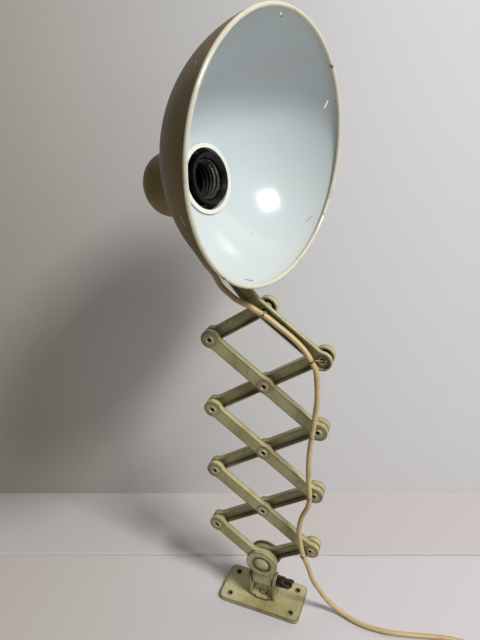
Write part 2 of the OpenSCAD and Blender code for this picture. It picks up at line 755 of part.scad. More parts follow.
plate_back = 18.2;                     // holder plate behind the mouth
skirt_ahead = 3;                       // skirt stands out of the mouth
module holder_plate() {
  color(bright_metal) at_holder() translate([0, 0, -plate_back]) difference() {
    cylinder(r = cap_r - cap_t - seat, h = 1.2);
    translate([0, 0, -1]) cylinder(r = skirt_d / 2 + seat, h = 4);
    for (k = [0:2]) rotate(60 + 120 * k) translate([skirt_d / 2 + 2.6, 0, -1])
      cylinder(d = 2.6, h = 4);
  }
}

module holder_screws() {
  color(bright_metal) for (k = [0:2]) at_holder() rotate(60 + 120 * k)
    translate([skirt_d / 2 + 2.6, 0, -plate_back - 4]) {
      cylinder(d = 2.5, h = 5.3);
      translate([0, 0, 5.2]) cylinder(d = 4.2, h = 1.6);
    }
}

skirt_len = thread_len + 11.5;
shell_wall = 0.6;
module holder_skirt() {
  color(black_bakelite) at_holder() translate([0, 0, skirt_ahead - skirt_len]) difference() {
    cylinder(d = skirt_d, h = skirt_len);
    translate([0, 0, 4]) cylinder(r = thread_d / 2 + shell_wall + 0.6, h = skirt_len);
    translate([0, 0, skirt_len - 2]) cylinder(r1 = thread_d / 2 + 1.2, r2 = thread_d / 2 + 3.2,
      h = 2 + eps);
  }
}

module holder_base() {
  base_top = skirt_ahead - skirt_len;
  color([0.85, 0.83, 0.78]) at_holder() {
    translate([0, 0, base_top - 9]) cylinder(d = skirt_d - 3, h = 9);
    translate([0, 0, base_top - 13]) cylinder(d = skirt_d - 12, h = 4 + eps);
  }
}

module screw_shell() {
  shell_top = -0.8;
  color(bright_metal) at_holder() translate([0, 0, shell_top - thread_len]) difference() {
    cylinder(r = thread_d / 2 + shell_wall, h = thread_len);
    translate([0, 0, -1]) cylinder(d = thread_d, h = thread_len + 2);
  }
}

module centre_contact() {
  floor_z = skirt_ahead - skirt_len + 4;
  color(bright_metal) at_holder() translate([0, 0, floor_z]) {
    cylinder(d = 9, h = 1);
    translate([-1.5, -6, 1 - eps]) cube([3, 12, 0.8]);
    translate([-2, -2, 1]) cube([4, 4, 2.4]);
  }
}

// ---------- mains lead ----------

// Coil route: in by the lower layer, up in the half turn at the middle, out above
function coil_point(turn) =
  let (per_layer = coil_half_turns / 2, climb = min(max((turn - per_layer) / 0.5, 0), 1),
    rise = climb * climb * (3 - 2 * climb),
    r = turn < per_layer ? coil_out_r - coil_step * turn
      : turn < per_layer + 0.5 ? coil_in_r - 2 * sin(180 * climb)
      : coil_in_r + coil_step * (turn - per_layer - 0.5),
    a = 90 - 360 * turn)
    COIL_CENTRE + [r * cos(a), r * sin(a), coil_step * rise];
coil_turns = coil_half_turns + 0.5;
COIL_TURNS = [for (i = [0:coil_turns * coil_rings]) coil_point(i / coil_rings)];
coil_last = COIL_TURNS[len(COIL_TURNS) - 1];
plug_start = coil_last - [24, 0, 0];    // past the outer turn
COIL = concat([coil_start - [2 * cord_d, 0, 0], coil_start - [cord_d, 0, 0]], COIL_TURNS,
  [coil_last - [12, 0, 0], plug_start, plug_start - [cord_d, 0, 0]]);

// Least gap of the coil to itself, on its points half a turn apart or more
coil_gap = min([for (i = [0:len(COIL_TURNS) - 1], j = [i + coil_rings / 2:len(COIL_TURNS) - 1])
  norm(COIL_TURNS[i] - COIL_TURNS[j])]) - cord_d;
function run_length(p, first, last) = first >= last ? 0
  : norm(p[first + 1] - p[first]) + run_length(p, first + 1, last);
echo(coil_gap = coil_gap, free_length = run_length(ROUTE, 0, at_coil),
  coil_length = run_length(COIL, 1, len(COIL) - 2));

module cord_run(first, last) {
  color(cord_colour) tube_along(ROUTE, first, last, cord_r, 8, [0, 1, 0]);
}

// Ties from the bottom up, each leaning as the lead does there
TIE_LEANS = [-16, -1, 4, -30, -57];
module scissor_tie(i) {
  color(bright_metal) wire_tie(ROUTE[[at_r4, at_r3, at_r2][i]], right_pivot(i), TIE_LEANS[i]);
}

module arm_ties() {
  color(bright_metal) {
    wire_tie(ROUTE[at_r1], right_pivot(3), TIE_LEANS[3]);
    wire_tie(ROUTE[at_c1], mid_pivot(4), TIE_LEANS[4]);
  }
}

module cord_coil() {
  color(cord_colour) tube_along(COIL, 1, len(COIL) - 2, cord_r, 6, [0, 0, 1]);
}

plug_t = 2 * (COIL_CENTRE[2] + coil_step);
relief_len = 12;
module plug() {
  color(black_bakelite) translate(plug_start) rotate([0, -90, 0]) {
    cylinder(r1 = cord_r + 0.8, r2 = 5.5, h = relief_len);
    translate([0, 0, relief_len - eps]) linear_extrude(plug_len) {
      for (side = [-1, 1]) translate([0, side * (plug_w - plug_t) / 2]) circle(d = plug_t);
      square([plug_t, plug_w - plug_t], center = true);
    }
  }
}

module plug_pins() {
  pin_pitch = 19;
  color(bright_metal) translate(plug_start) rotate([0, -90, 0])
    for (side = [-1, 1]) translate([0, side * pin_pitch / 2, relief_len + plug_len - eps]) {
      cylinder(d = pin_d, h = pin_len - pin_d / 2);
      translate([0, 0, pin_len - pin_d / 2]) sphere(d = pin_d);
    }
}

base_plate();
clevis();
base_rivet();
hinge_bolt();
hinge_washer();
wing_nut();
knuckle();
hinge_bush();
scissor_axle();
axle_nut();
front_half_bar();
back_half_bar();
back_bar(0);  // back_bar_1
front_bar(0);  // front_bar_1
back_bar(1);  // back_bar_2
front_bar(1);  // front_bar_2
back_bar(2);  // back_bar_3
front_bar(2);  // front_bar_3
top_half_bar();
lamp_arm();
half_bar_rivet();
scissor_rivets(0);  // rivets_1
scissor_rivets(1);  // rivets_2
scissor_rivets(2);  // rivets_3
arm_rivets();
scissor_tie(0);  // tie_1
scissor_tie(1);  // tie_2
scissor_tie(2);  // tie_3
arm_ties();
tilt_bolt();
tilt_nut();
tilt_block();
swivel_nut();
swivel_boss();
rear_cap();
shade();
shade_ring();
holder_plate();
holder_screws();
holder_skirt();
holder_base();
screw_shell();
centre_contact();
cord_grommet();
cord_run(0, at_c1);  // cord_head
cord_run(at_c1, at_r1);  // cord_arm
cord_run(at_r1, at_r2);  // cord_span_1
cord_run(at_r2, at_r3);  // cord_span_2
cord_run(at_r3, at_r4);  // cord_span_3
cord_run(at_r4, at_coil);  // cord_drop
cord_coil();
plug();
plug_pins();
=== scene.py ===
# Accordion desk lamp: an aged cream scissor arm with a two-tone enamel shade and its mains lead
import json
import math

import bpy
import numpy as np
from mathutils import Matrix, Vector


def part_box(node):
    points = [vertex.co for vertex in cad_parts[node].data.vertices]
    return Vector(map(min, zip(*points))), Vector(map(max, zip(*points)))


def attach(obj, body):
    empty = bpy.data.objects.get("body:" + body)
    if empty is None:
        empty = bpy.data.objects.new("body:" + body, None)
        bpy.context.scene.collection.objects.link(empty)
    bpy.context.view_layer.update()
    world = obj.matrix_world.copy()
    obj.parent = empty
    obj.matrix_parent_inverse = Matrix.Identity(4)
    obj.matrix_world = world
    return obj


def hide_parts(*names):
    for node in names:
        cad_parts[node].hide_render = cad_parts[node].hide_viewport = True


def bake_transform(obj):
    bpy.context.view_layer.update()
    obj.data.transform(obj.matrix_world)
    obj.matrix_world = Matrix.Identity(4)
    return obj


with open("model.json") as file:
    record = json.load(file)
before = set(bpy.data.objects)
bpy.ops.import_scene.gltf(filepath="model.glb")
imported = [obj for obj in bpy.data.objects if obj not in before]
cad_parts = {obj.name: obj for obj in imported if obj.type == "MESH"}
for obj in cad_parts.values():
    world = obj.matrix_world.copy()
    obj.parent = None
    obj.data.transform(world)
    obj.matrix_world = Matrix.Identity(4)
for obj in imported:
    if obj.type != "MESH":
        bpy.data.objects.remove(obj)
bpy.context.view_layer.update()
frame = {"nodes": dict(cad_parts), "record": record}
nodes = frame["nodes"]
mm = 0.001
mouth = next(m for m in frame["record"]["mounts"] if m["name"] == "lamp_thread")
print("frame loaded,", len(nodes), "nodes")

# the camera: place, lens and sensor in mm, turns in radians, near clipping in metres
view = {"place": (125.07, -375.36, 537.7), "yaw": -0.375, "pitch": 0.481, "roll": -0.015, "lens": 31.5,
        "sensor": 36, "near": 0.01}


def makeCamera(v):
    # looks along fwd; yaw turns about Z, pitch tips down, roll turns about the view line
    cy, sy, cp, sp = math.cos(v["yaw"]), math.sin(v["yaw"]), math.cos(v["pitch"]), math.sin(v["pitch"])
    fwd = np.array([sy * cp, cy * cp, -sp])
    level = np.array([cy, -sy, 0.0])
    upright = np.cross(level, fwd)
    side = level * math.cos(v["roll"]) + upright * math.sin(v["roll"])
    top = np.cross(side, fwd)
    data = bpy.data.cameras.new("photoView")
    data.lens = v["lens"]
    data.sensor_width = v["sensor"]
    data.clip_start = v["near"]
    cam = bpy.data.objects.new("photoView", data)
    bpy.context.scene.collection.objects.link(cam)
    turn = np.eye(4)
    turn[:3, 0], turn[:3, 1], turn[:3, 2] = side, top, -fwd
    turn[:3, 3] = np.array(v["place"]) * mm
    cam.matrix_world = Matrix(turn.tolist())
    bpy.context.scene.camera = cam


makeCamera(view)
print("camera set")

glassy = 1.5  # IOR of paint, enamel and glaze
roundingRays = 6  # rays of the rounded edges and of the dirt in corners


def srgb(r, g, b):
    # 0-255 screen colour to linear light
    c = np.array([r, g, b]) / 255
    return (*np.where(c <= 0.04045, c / 12.92, ((c + 0.055) / 1.055) ** 2.4).tolist(), 1.0)


class Wire:
    # one socket of a finish; the operators add Math nodes to it
    def __init__(self, finish, socket):
        self.finish, self.socket = finish, socket

    def __add__(self, other):
        return self.finish.maths("ADD", self, other)

    def __sub__(self, other):
        return self.finish.maths("SUBTRACT", self, other)

    def __rsub__(self, other):
        return self.finish.maths("SUBTRACT", other, self)

    def __mul__(self, other):
        return self.finish.maths("MULTIPLY", self, other)

    __radd__, __rmul__ = __add__, __mul__

    def larger(self, other):
        return self.finish.maths("MAXIMUM", self, other)

    def between(self, low, high):
        # 0 below low, 1 above high, a smooth step in between (or the other way round)
        return self.finish.node("MapRange", {"interpolation_type": "SMOOTHSTEP"},
                                {"Value": self, "From Min": low, "From Max": high})[0]


class Finish:
    # a material whose nodes are added by plain calls
    def __init__(self, name, **fixed):
        self.material = bpy.data.materials.new(name)
        self.material.use_nodes = True
        self.tree = self.material.node_tree
        self.shader = self.tree.nodes["Principled BSDF"]
        for key, value in fixed.items():
            self.shader.inputs[key.replace("_", " ")].default_value = value
        self.place = self.node("TexCoord")["Object"]

    def node(self, kind, settings=None, inputs=None):
        # one node: its settings first, then its sockets; gives its outputs by name and by number
        made = self.tree.nodes.new("ShaderNode" + kind)
        for key, value in (settings or {}).items():
            setattr(made, key, value)
        for key, value in (inputs or {}).items():
            self.feed(made.inputs[key], value)
        return {**{s.name: Wire(self, s) for s in made.outputs},
                **{k: Wire(self, s) for k, s in enumerate(made.outputs)}}

    def feed(self, socket, value):
        # links a wire, or sets a plain value
        if isinstance(value, Wire):
            self.tree.links.new(value.socket, socket)
        else:
            socket.default_value = value

    def maths(self, kind, *values):
        return self.node("Math", {"operation": kind}, dict(enumerate(values)))["Value"]

    def vector(self, kind, *values, out="Vector"):
        return self.node("VectorMath", {"operation": kind}, dict(enumerate(values)))[out]

    def mix(self, share, a, b):
        # colour a where share is 0, colour b where it is 1
        return self.node("Mix", {"data_type": "RGBA"}, {0: share, 6: a, 7: b})[2]

    def noise(self, scale, detail=3.0, rough=0.55, at=None, stretch=None):
        # clouds from 0 to 1, about scale of them to the metre
        at = at or self.place
        if stretch:
            at = self.node("Mapping", None, {"Vector": at, "Scale": stretch})["Vector"]
        return self.node("TexNoise", None, {"Vector": at, "Scale": scale, "Detail": detail,
                                            "Roughness": rough})["Fac"]

    def specks(self, scale, size):
        # 1 inside small round dots, one to each cell of about 1/scale
        far = self.node("TexVoronoi", None, {"Vector": self.place, "Scale": scale})
        return far["Distance"].between(size, size * 0.6)

    def softNormal(self, radius):
        # the normal as if edges were rounded by radius
        return self.node("Bevel", {"samples": roundingRays}, {"Radius": radius})["Normal"]

    def edges(self, radius, low=0.02, high=0.2):
        # 1 on sharp edges: 1 minus the dot product of the rounded normal and the true one
        true = self.node("NewGeometry")["Normal"]
        away = 1.0 - self.vector("DOT_PRODUCT", self.softNormal(radius), true, out="Value")
        return away.between(low, high)

    def crevice(self, reach):
        # 1 deep in corners, 0 in the open
        return 1.0 - self.node("AmbientOcclusion", {"samples": roundingRays}, {"Distance": reach})["AO"]

    def close(self, colour, rough, height, strength, depth, soft=None, metal=None):
        # feeds the shader; height makes the bump, over edges rounded by soft
        self.feed(self.shader.inputs["Base Color"], colour)
        self.feed(self.shader.inputs["Roughness"], rough)
        if metal is not None:
            self.feed(self.shader.inputs["Metallic"], metal)
        bump = {"Strength": strength, "Distance": depth, "Height": height}
        if soft:
            bump["Normal"] = self.softNormal(soft)
        self.feed(self.shader.inputs["Normal"], self.node("Bump", None, bump)["Normal"])
        return self.material


# cream paint of the arm, and a browner copy set darker as painted shade for the cap and swivel boss; soft is the
# rounding of edges in metres
agedCream = {"fresh": (182, 175, 132), "tanned": (148, 139, 90), "olive": (122, 116, 72), "grimeAndShade": (54, 42, 20),
             "bare": (54, 42, 30), "soft": 0.0006, "wear": 1.0}
shadedTan = {**agedCream, "fresh": (132, 116, 64), "tanned": (106, 88, 42), "olive": (92, 76, 36), "wear": 0.6}


def creamPaint(name, c):
    # slow clouds and streaks, painted shade in corners and seams, dark lines along every edge, grime on rubbed
    # edges, chips down to dark steel
    f = Finish(name, IOR=glassy)
    clouds = f.noise(22, 4)
    fine = f.noise(240, 4, 0.6)
    streaks = f.noise(60, 4, 0.6, stretch=(3.0, 3.0, 0.6))
    colour = f.mix(clouds.between(0.35, 0.7), srgb(*c["fresh"]), srgb(*c["tanned"]))
    colour = f.mix(streaks.between(0.48, 0.75) * 0.55, colour, srgb(*c["olive"]))
    edge = f.edges(0.0013, 0.03, 0.24)
    rubbed = edge * fine.between(0.38, 0.62)
    # painted shade: darker in corners, by ambient occlusion
    corner = f.crevice(0.006).between(0.3, 0.85) * 0.8
    line = f.edges(0.0022, 0.012, 0.1) * 0.82
    # painted shade in narrow seams between parts
    seamShade = f.crevice(0.0018).between(0.3, 0.6) * 0.95
    # one mask, in the grimeAndShade colour, for grime on rubbed edges, the dark lines along every edge, and the
    # painted shade of corners and seams
    dirt = corner.larger(rubbed * 0.8 * c["wear"]).larger(line * c["wear"]).larger(seamShade)
    colour = f.mix(dirt, colour, srgb(*c["grimeAndShade"]))
    dots = f.specks(260, 0.16) * f.noise(70, 2).between(0.56, 0.66)
    chips = (edge * f.noise(120, 3, 0.7).between(0.6, 0.64) * c["wear"]).larger(dots * 0.8)
    colour = f.mix(chips, colour, srgb(*c["bare"]))
    rough = 0.38 + fine * 0.12 + dirt * 0.25 + chips * 0.15
    return f.close(colour, rough, fine * 0.35 + clouds * 0.25 - chips * 0.6, 0.25, 0.0005, c["soft"])


# centre, skin and rim in mm; the bands are distances ahead of the rim's plane, in metres
# outside and outsideDark are browned paint set darker as painted shade; corner is the colour of painted shade in
# corners
shadeFinish = {"centre": (33.30, -23.63, 463.10), "skin": 91.57, "axis": (0.960975, -0.275555, 0.024432),
               "rim": (10.647, -17.136, 462.523), "outside": (118, 96, 48), "outsideDark": (78, 60, 24),
               "patch": (90, 74, 38), "inside": (187, 197, 200), "insideWarm": (190, 195, 188),
               "nearRim": (184, 183, 168), "bead": (196, 192, 172), "chip": (70, 56, 36), "speck": (96, 94, 84),
               "corner": (96, 92, 78), "halfSkin": 0.0002, "nearRimBand": (-0.009, -0.0015),
               "beadBand": (-0.0012, -0.0006), "chipBand": (-0.0042, -0.0012)}


def shadePaint(c):
    # outside olive brown, browned paint set darker as painted shade; inside cool white enamel; told apart by the
    # distance from the shade's centre
    f = Finish("shadeEnamel", IOR=glassy)
    out = f.vector("SUBTRACT", f.place, tuple(x * mm for x in c["centre"]))
    radius = f.vector("LENGTH", out, out="Value")
    outer = radius.between(c["skin"] * mm - c["halfSkin"], c["skin"] * mm + c["halfSkin"])
    fromRim = f.vector("SUBTRACT", f.place, tuple(x * mm for x in c["rim"]))
    ahead = f.vector("DOT_PRODUCT", fromRim, c["axis"], out="Value")
    clouds = f.noise(11, 4)
    fine = f.noise(200, 4, 0.6)
    # outside: browned paint, in colours set darker as painted shade
    back = f.mix(clouds.between(0.35, 0.68), srgb(*c["outside"]), srgb(*c["outsideDark"]))
    back = f.mix(f.noise(45, 5, 0.65).between(0.5, 0.8) * 0.45, back, srgb(*c["patch"]))
    front = f.mix(f.noise(9, 3).between(0.4, 0.75) * 0.7, srgb(*c["inside"]), srgb(*c["insideWarm"]))
    front = f.mix(ahead.between(*c["nearRimBand"]) * 0.5, front, srgb(*c["nearRim"]))
    dots = f.specks(70, 0.05) * f.noise(28, 2).between(0.5, 0.6)
    front = f.mix(dots * 0.8, front, srgb(*c["speck"]))
    colour = f.mix(outer, front, back)
    bead = ahead.between(*c["beadBand"])
    colour = f.mix(bead, colour, srgb(*c["bead"]))
    bitten = f.noise(85, 4, 0.7).between(0.6, 0.66) * ahead.between(*c["chipBand"])
    chips = bitten * (outer.larger(bead))
    chips = chips.larger(f.edges(0.0004) * fine.between(0.5, 0.6) * 0.7 * (1.0 - bead))
    colour = f.mix(chips, colour, srgb(*c["chip"]))
    # painted shade in corners, by ambient occlusion
    colour = f.mix(f.crevice(0.004).between(0.3, 0.9) * 0.6, colour, srgb(*c["corner"]))
    rough = 0.13 + outer * 0.27 + fine * 0.06 + chips * 0.3
    return f.close(colour, rough, fine * 0.2 + f.noise(35, 2) * 0.9 - chips * 0.5, 0.12, 0.0004)


enamelRing = {"white": (214, 216, 208), "yellowed": (196, 194, 178), "worn": (90, 84, 70)}


def whiteEnamel(c):
    # white, yellowed in clouds, worn dark on its edges
    f = Finish("ringEnamel", IOR=glassy)
    worn = f.edges(0.0004) * f.noise(160, 3).between(0.5, 0.62)
    colour = f.mix(f.noise(60).between(0.4, 0.8) * 0.4, srgb(*c["white"]), srgb(*c["yellowed"]))
    colour = f.mix(worn * 0.7, colour, srgb(*c["worn"]))
    return f.close(colour, 0.2 + worn * 0.3, f.noise(300), 0.06, 0.0003, 0.0003)


# corner is the colour of the painted shade in corners and bores
rivetMetal = {"bright": (196, 188, 158), "dull": (156, 145, 114), "corner": (30, 22, 15), "rough": 0.42,
              "metal": 0.45}
tieWire = {"bright": (176, 160, 126), "dull": (120, 102, 74), "corner": (30, 22, 15), "rough": 0.38, "metal": 0.9}


def tarnished(name, c):
    # plated steel: bright where rubbed, dull clouds, painted shade in dark brown in the corners and bores
    f = Finish(name)
    clouds = f.noise(130, 4, 0.6)
    scratches = f.noise(500, 3, 0.6, stretch=(1.0, 6.0, 1.0))
    colour = f.mix(clouds.between(0.4, 0.7), srgb(*c["bright"]), srgb(*c["dull"]))
    colour = f.mix(f.edges(0.0003) * 0.4, colour, srgb(*c["bright"]))
    # painted shade in corners and bores, by ambient occlusion; rougher and less metallic there too
    corner = f.crevice(0.004).between(0.3, 0.7)
    colour = f.mix(corner * 0.92, colour, srgb(*c["corner"]))
    rough = c["rough"] + clouds * 0.18 + corner * 0.2
    return f.close(colour, rough, scratches * 0.3 + clouds * 0.5, 0.2, 0.0003, 0.0003, c["metal"] - corner * 0.4)


darkSteel = {"steel": (50, 42, 35), "bloom": (88, 68, 48), "rubbed": (132, 118, 100)}


def rustedSteel(name, c):
    # oxidised dark steel with a thin brown bloom, paler on rubbed edges
    f = Finish(name)
    bloom = f.noise(150, 5, 0.7).between(0.45, 0.7)
    colour = f.mix(bloom, srgb(*c["steel"]), srgb(*c["bloom"]))
    edge = f.edges(0.0005) * f.noise(210).between(0.4, 0.6)
    colour = f.mix(edge * 0.7, colour, srgb(*c["rubbed"]))
    height = f.noise(700, 4, 0.6) + bloom * 0.6
    return f.close(colour, 0.42 + bloom * 0.3, height, 0.3, 0.0003, 0.0004, 0.75 - bloom * 0.45)


plugFinish = {"black": (11, 10, 10), "swirl": (26, 20, 16), "edge": (70, 66, 62), "dust": (70, 64, 56)}


def bakelite(c):
    # black with a faint brown swirl, greyed on its edges and by dust
    f = Finish("bakelite", IOR=1.45, Specular_IOR_Level=0.25)
    swirl = f.noise(90, 5, 0.65).between(0.5, 0.8)
    colour = f.mix(swirl * 0.6, srgb(*c["black"]), srgb(*c["swirl"]))
    colour = f.mix(f.edges(0.0004) * 0.5, colour, srgb(*c["edge"]))
    dust = f.noise(420, 3, 0.7).between(0.56, 0.75)
    colour = f.mix(dust * 0.12, colour, srgb(*c["dust"]))
    return f.close(colour, 0.24 + dust * 0.2, f.noise(140, 3), 0.08, 0.0003, 0.0004)


holderFinish = {"white": (226, 221, 206), "stain": (202, 192, 168)}


def glazed(c):
    # white glaze with slow cream stains under a thin coat
    f = Finish("glazedCeramic", IOR=glassy, Coat_Weight=0.3)
    colour = f.mix(f.noise(110, 4).between(0.4, 0.75), srgb(*c["white"]), srgb(*c["stain"]))
    return f.close(colour, 0.25, f.noise(160), 0.08, 0.0003, 0.0004)


# the painted shade deep in the holder sets in within deepBand, in metres along the thread's axis from its mouth
shellFinish = {"bright": (160, 155, 142), "dull": (96, 89, 74), "corner": (17, 14, 11), "deepShade": (14, 12, 10),
               "deepBand": (0.005, 0.0)}


def brass(c):
    # dull plated brass, painted near black as shade in its corners and past the first two turns of the thread
    f = Finish("shellBrass")
    inside = f.vector("SUBTRACT", f.place, tuple(mouth["pos_m"]))
    deep = f.vector("DOT_PRODUCT", inside, tuple(mouth["axis"]), out="Value").between(*c["deepBand"])
    age = f.noise(120, 4).between(0.4, 0.7)
    colour = f.mix(age, srgb(*c["bright"]), srgb(*c["dull"]))
    # painted shade in the thread's corners, by ambient occlusion
    colour = f.mix(f.crevice(0.014).between(0.22, 0.62) * 0.96, colour, srgb(*c["corner"]))
    # painted shade deeper in the holder: near black, rougher and less metallic
    colour = f.mix(deep * 0.93, colour, srgb(*c["deepShade"]))
    rough = 0.24 + age * 0.16 + deep * 0.3
    return f.close(colour, rough, f.noise(500, 3), 0.08, 0.0002, 0.0003, 0.95 - deep * 0.6)


sheath = {"pale": (192, 170, 124), "tan": (172, 146, 97), "dirt": (124, 102, 62), "corner": (112, 90, 56)}


def cordPvc(c):
    # yellowed plastic sheath: slow bands of tan along the lead, handling dirt, fine dimples, painted shade in
    # corners
    f = Finish("cordSheath", IOR=1.48)
    at = f.node("UVMap", {"uv_map": "along"})["UV"]
    bands = f.noise(9, 3, 0.6, at=at, stretch=(0.3, 1.0, 1.0))
    dirt = f.noise(70, 4, 0.65).between(0.52, 0.78)
    colour = f.mix(bands.between(0.35, 0.7), srgb(*c["pale"]), srgb(*c["tan"]))
    colour = f.mix(dirt * 0.45, colour, srgb(*c["dirt"]))
    # painted shade where the lead lies in corners, by ambient occlusion
    colour = f.mix(f.crevice(0.004).between(0.4, 0.9) * 0.5, colour, srgb(*c["corner"]))
    return f.close(colour, 0.4 + dirt * 0.2, f.noise(600, 3) * 0.5 + f.noise(90, 3), 0.15, 0.0003)


finishes = {
    "paint": creamPaint("agedPaint", agedCream),
    "tanned": creamPaint("shadedTanPaint", shadedTan),
    "white_enamel": whiteEnamel(enamelRing),
    "rivet_metal": tarnished("rivetMetal", rivetMetal),
    "tie_wire": tarnished("tieWire", tieWire),
    "dark_metal": rustedSteel("darkSteel", darkSteel),
    "bakelite": bakelite(plugFinish),
    "ceramic": glazed(holderFinish),
    "shell_brass": brass(shellFinish),
    "cord": cordPvc(sheath),
    "shade": shadePaint(shadeFinish),
}
slotOf = {s["node"]: s["material_slot"] for s in frame["record"]["subparts"]}
# the cap and swivel boss take the tan copy: browner paint, set darker as painted shade
special = {"shade": "shade", "rear_cap": "tanned", "swivel_boss": "tanned", "base_rivet": "paint"}
for name, thing in nodes.items():
    thing.data.materials.clear()
    thing.data.materials.append(finishes[special.get(name, slotOf[name])])
print("finishes made")


def meshOf(name, grids, finish, body, stands):
    # one mesh out of grids of points, n x m x 3 in mm, each closed round m; ring closes it along n too, and
    # caps close its ends. A grid whose volume, the sum of a . (b x c) over its faces, is negative is turned over.
    # body is one body, to which the piece is attached, or (body, body, start, end in mm) for a piece between two
    # bodies, which is left unattached
    points, faces, uvs, base = [], [], [], 0
    for g in grids:
        p = np.asarray(g["points"], float)
        n, m = p.shape[:2]
        i = np.arange(n if g.get("ring") else n - 1)[:, None]
        j = np.arange(m)[None, :]
        i2, j2 = (i + 1) % n, (j + 1) % m
        quads = np.stack([i * m + j, i * m + j2, i2 * m + j2, i2 * m + j], -1).reshape(-1, 4)
        flat = p.reshape(-1, 3)
        a, b, c, d = (flat[quads[:, k]] for k in range(4))
        solid = (np.einsum("ij,ij->i", a, np.cross(b, c)) + np.einsum("ij,ij->i", a, np.cross(c, d))).sum()
        caps = []
        if g.get("caps"):
            caps = [np.arange(m)[::-1], np.arange(m) + (n - 1) * m]
            for ring in caps:
                r = flat[ring]
                first = np.broadcast_to(r[0], r[1:-1].shape)
                solid += np.einsum("ij,ij->i", first, np.cross(r[1:-1], r[2:])).sum()
        if solid < 0:
            quads, caps = quads[:, ::-1], [ring[::-1] for ring in caps]
        along = np.concatenate([[0], np.cumsum(np.linalg.norm(np.diff(p.mean(1), axis=0), axis=1))])
        uv = np.stack(np.broadcast_arrays(np.arange(m)[None, :] / m, along[:, None] * mm), -1).reshape(-1, 2)
        points.append(flat * mm)
        uvs.append(uv)
        faces += [tuple(q) for q in (quads + base).tolist()] + [tuple((ring + base).tolist()) for ring in caps]
        base += n * m
    mesh = bpy.data.meshes.new(name)
    mesh.from_pydata(np.concatenate(points).tolist(), [], faces)
    index = np.zeros(len(mesh.loops), np.int32)
    mesh.loops.foreach_get("vertex_index", index)
    uv = np.concatenate(uvs)[index].astype(np.float32)
    mesh.uv_layers.new(name="along").data.foreach_set("uv", uv.ravel())
    mesh.polygons.foreach_set("use_smooth", np.ones(len(mesh.polygons), bool))
    mesh.set_sharp_from_angle(angle=math.radians(50))
    mesh.materials.append(finish)
    thing = bpy.data.objects.new(name, mesh)
    bpy.context.scene.collection.objects.link(thing)
    if isinstance(body, str):
        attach(thing, body)
    else:
        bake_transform(thing)
    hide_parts(*stands)
    return thing


def smoothPath(points, step):
    # cubic through the points, its slopes from the neighbours by chord length, sampled about every step mm
    p = np.asarray(points, float)
    t = np.concatenate([[0], np.cumsum(np.linalg.norm(np.diff(p, axis=0), axis=1))])
    slope = np.gradient(p, t, axis=0, edge_order=1)
    at = np.linspace(0, t[-1], max(2, int(round(t[-1] / step)) + 1))
    k = np.clip(np.searchsorted(t, at, side="right") - 1, 0, len(t) - 2)
    h = (t[k + 1] - t[k])[:, None]
    s = ((at - t[k]) / (t[k + 1] - t[k]))[:, None]
    return ((2 * s**3 - 3 * s**2 + 1) * p[k] + (s**3 - 2 * s**2 + s) * h * slope[k]
            + (3 * s**2 - 2 * s**3) * p[k + 1] + (s**3 - s**2) * h * slope[k + 1])


def ringsAlong(path, radius, sides, up):
    # rings of a tube square to the path: path + radius (a cos t + b sin t); up fixes where t starts
    d = np.gradient(path, axis=0)
    d /= np.linalg.norm(d, axis=1, keepdims=True)
    a = np.cross(d, np.broadcast_to(np.asarray(up, float), d.shape))
    a /= np.linalg.norm(a, axis=1, keepdims=True)
    b = np.cross(a, d)
    turn = np.linspace(0, 2 * math.pi, sides, endpoint=False)[None, :, None]
    return path[:, None] + radius * (np.cos(turn) * a[:, None] + np.sin(turn) * b[:, None])


def revolve(profile, centre, axis, sides):
    # a closed profile of points (radius, height) carried round an axis through centre
    axis = np.asarray(axis, float) / np.linalg.norm(axis)
    other = np.cross(axis, [0, 0, 1] if abs(axis[2]) < 0.9 else [1, 0, 0])
    other /= np.linalg.norm(other)
    third = np.cross(axis, other)
    turn = np.linspace(0, 2 * math.pi, sides, endpoint=False)[None, :, None]
    pr = np.asarray(profile, float)
    p = (np.asarray(centre, float) + pr[:, 1, None, None] * axis
         + pr[:, 0, None, None] * (np.cos(turn) * other + np.sin(turn) * third))
    return {"points": p, "ring": True}


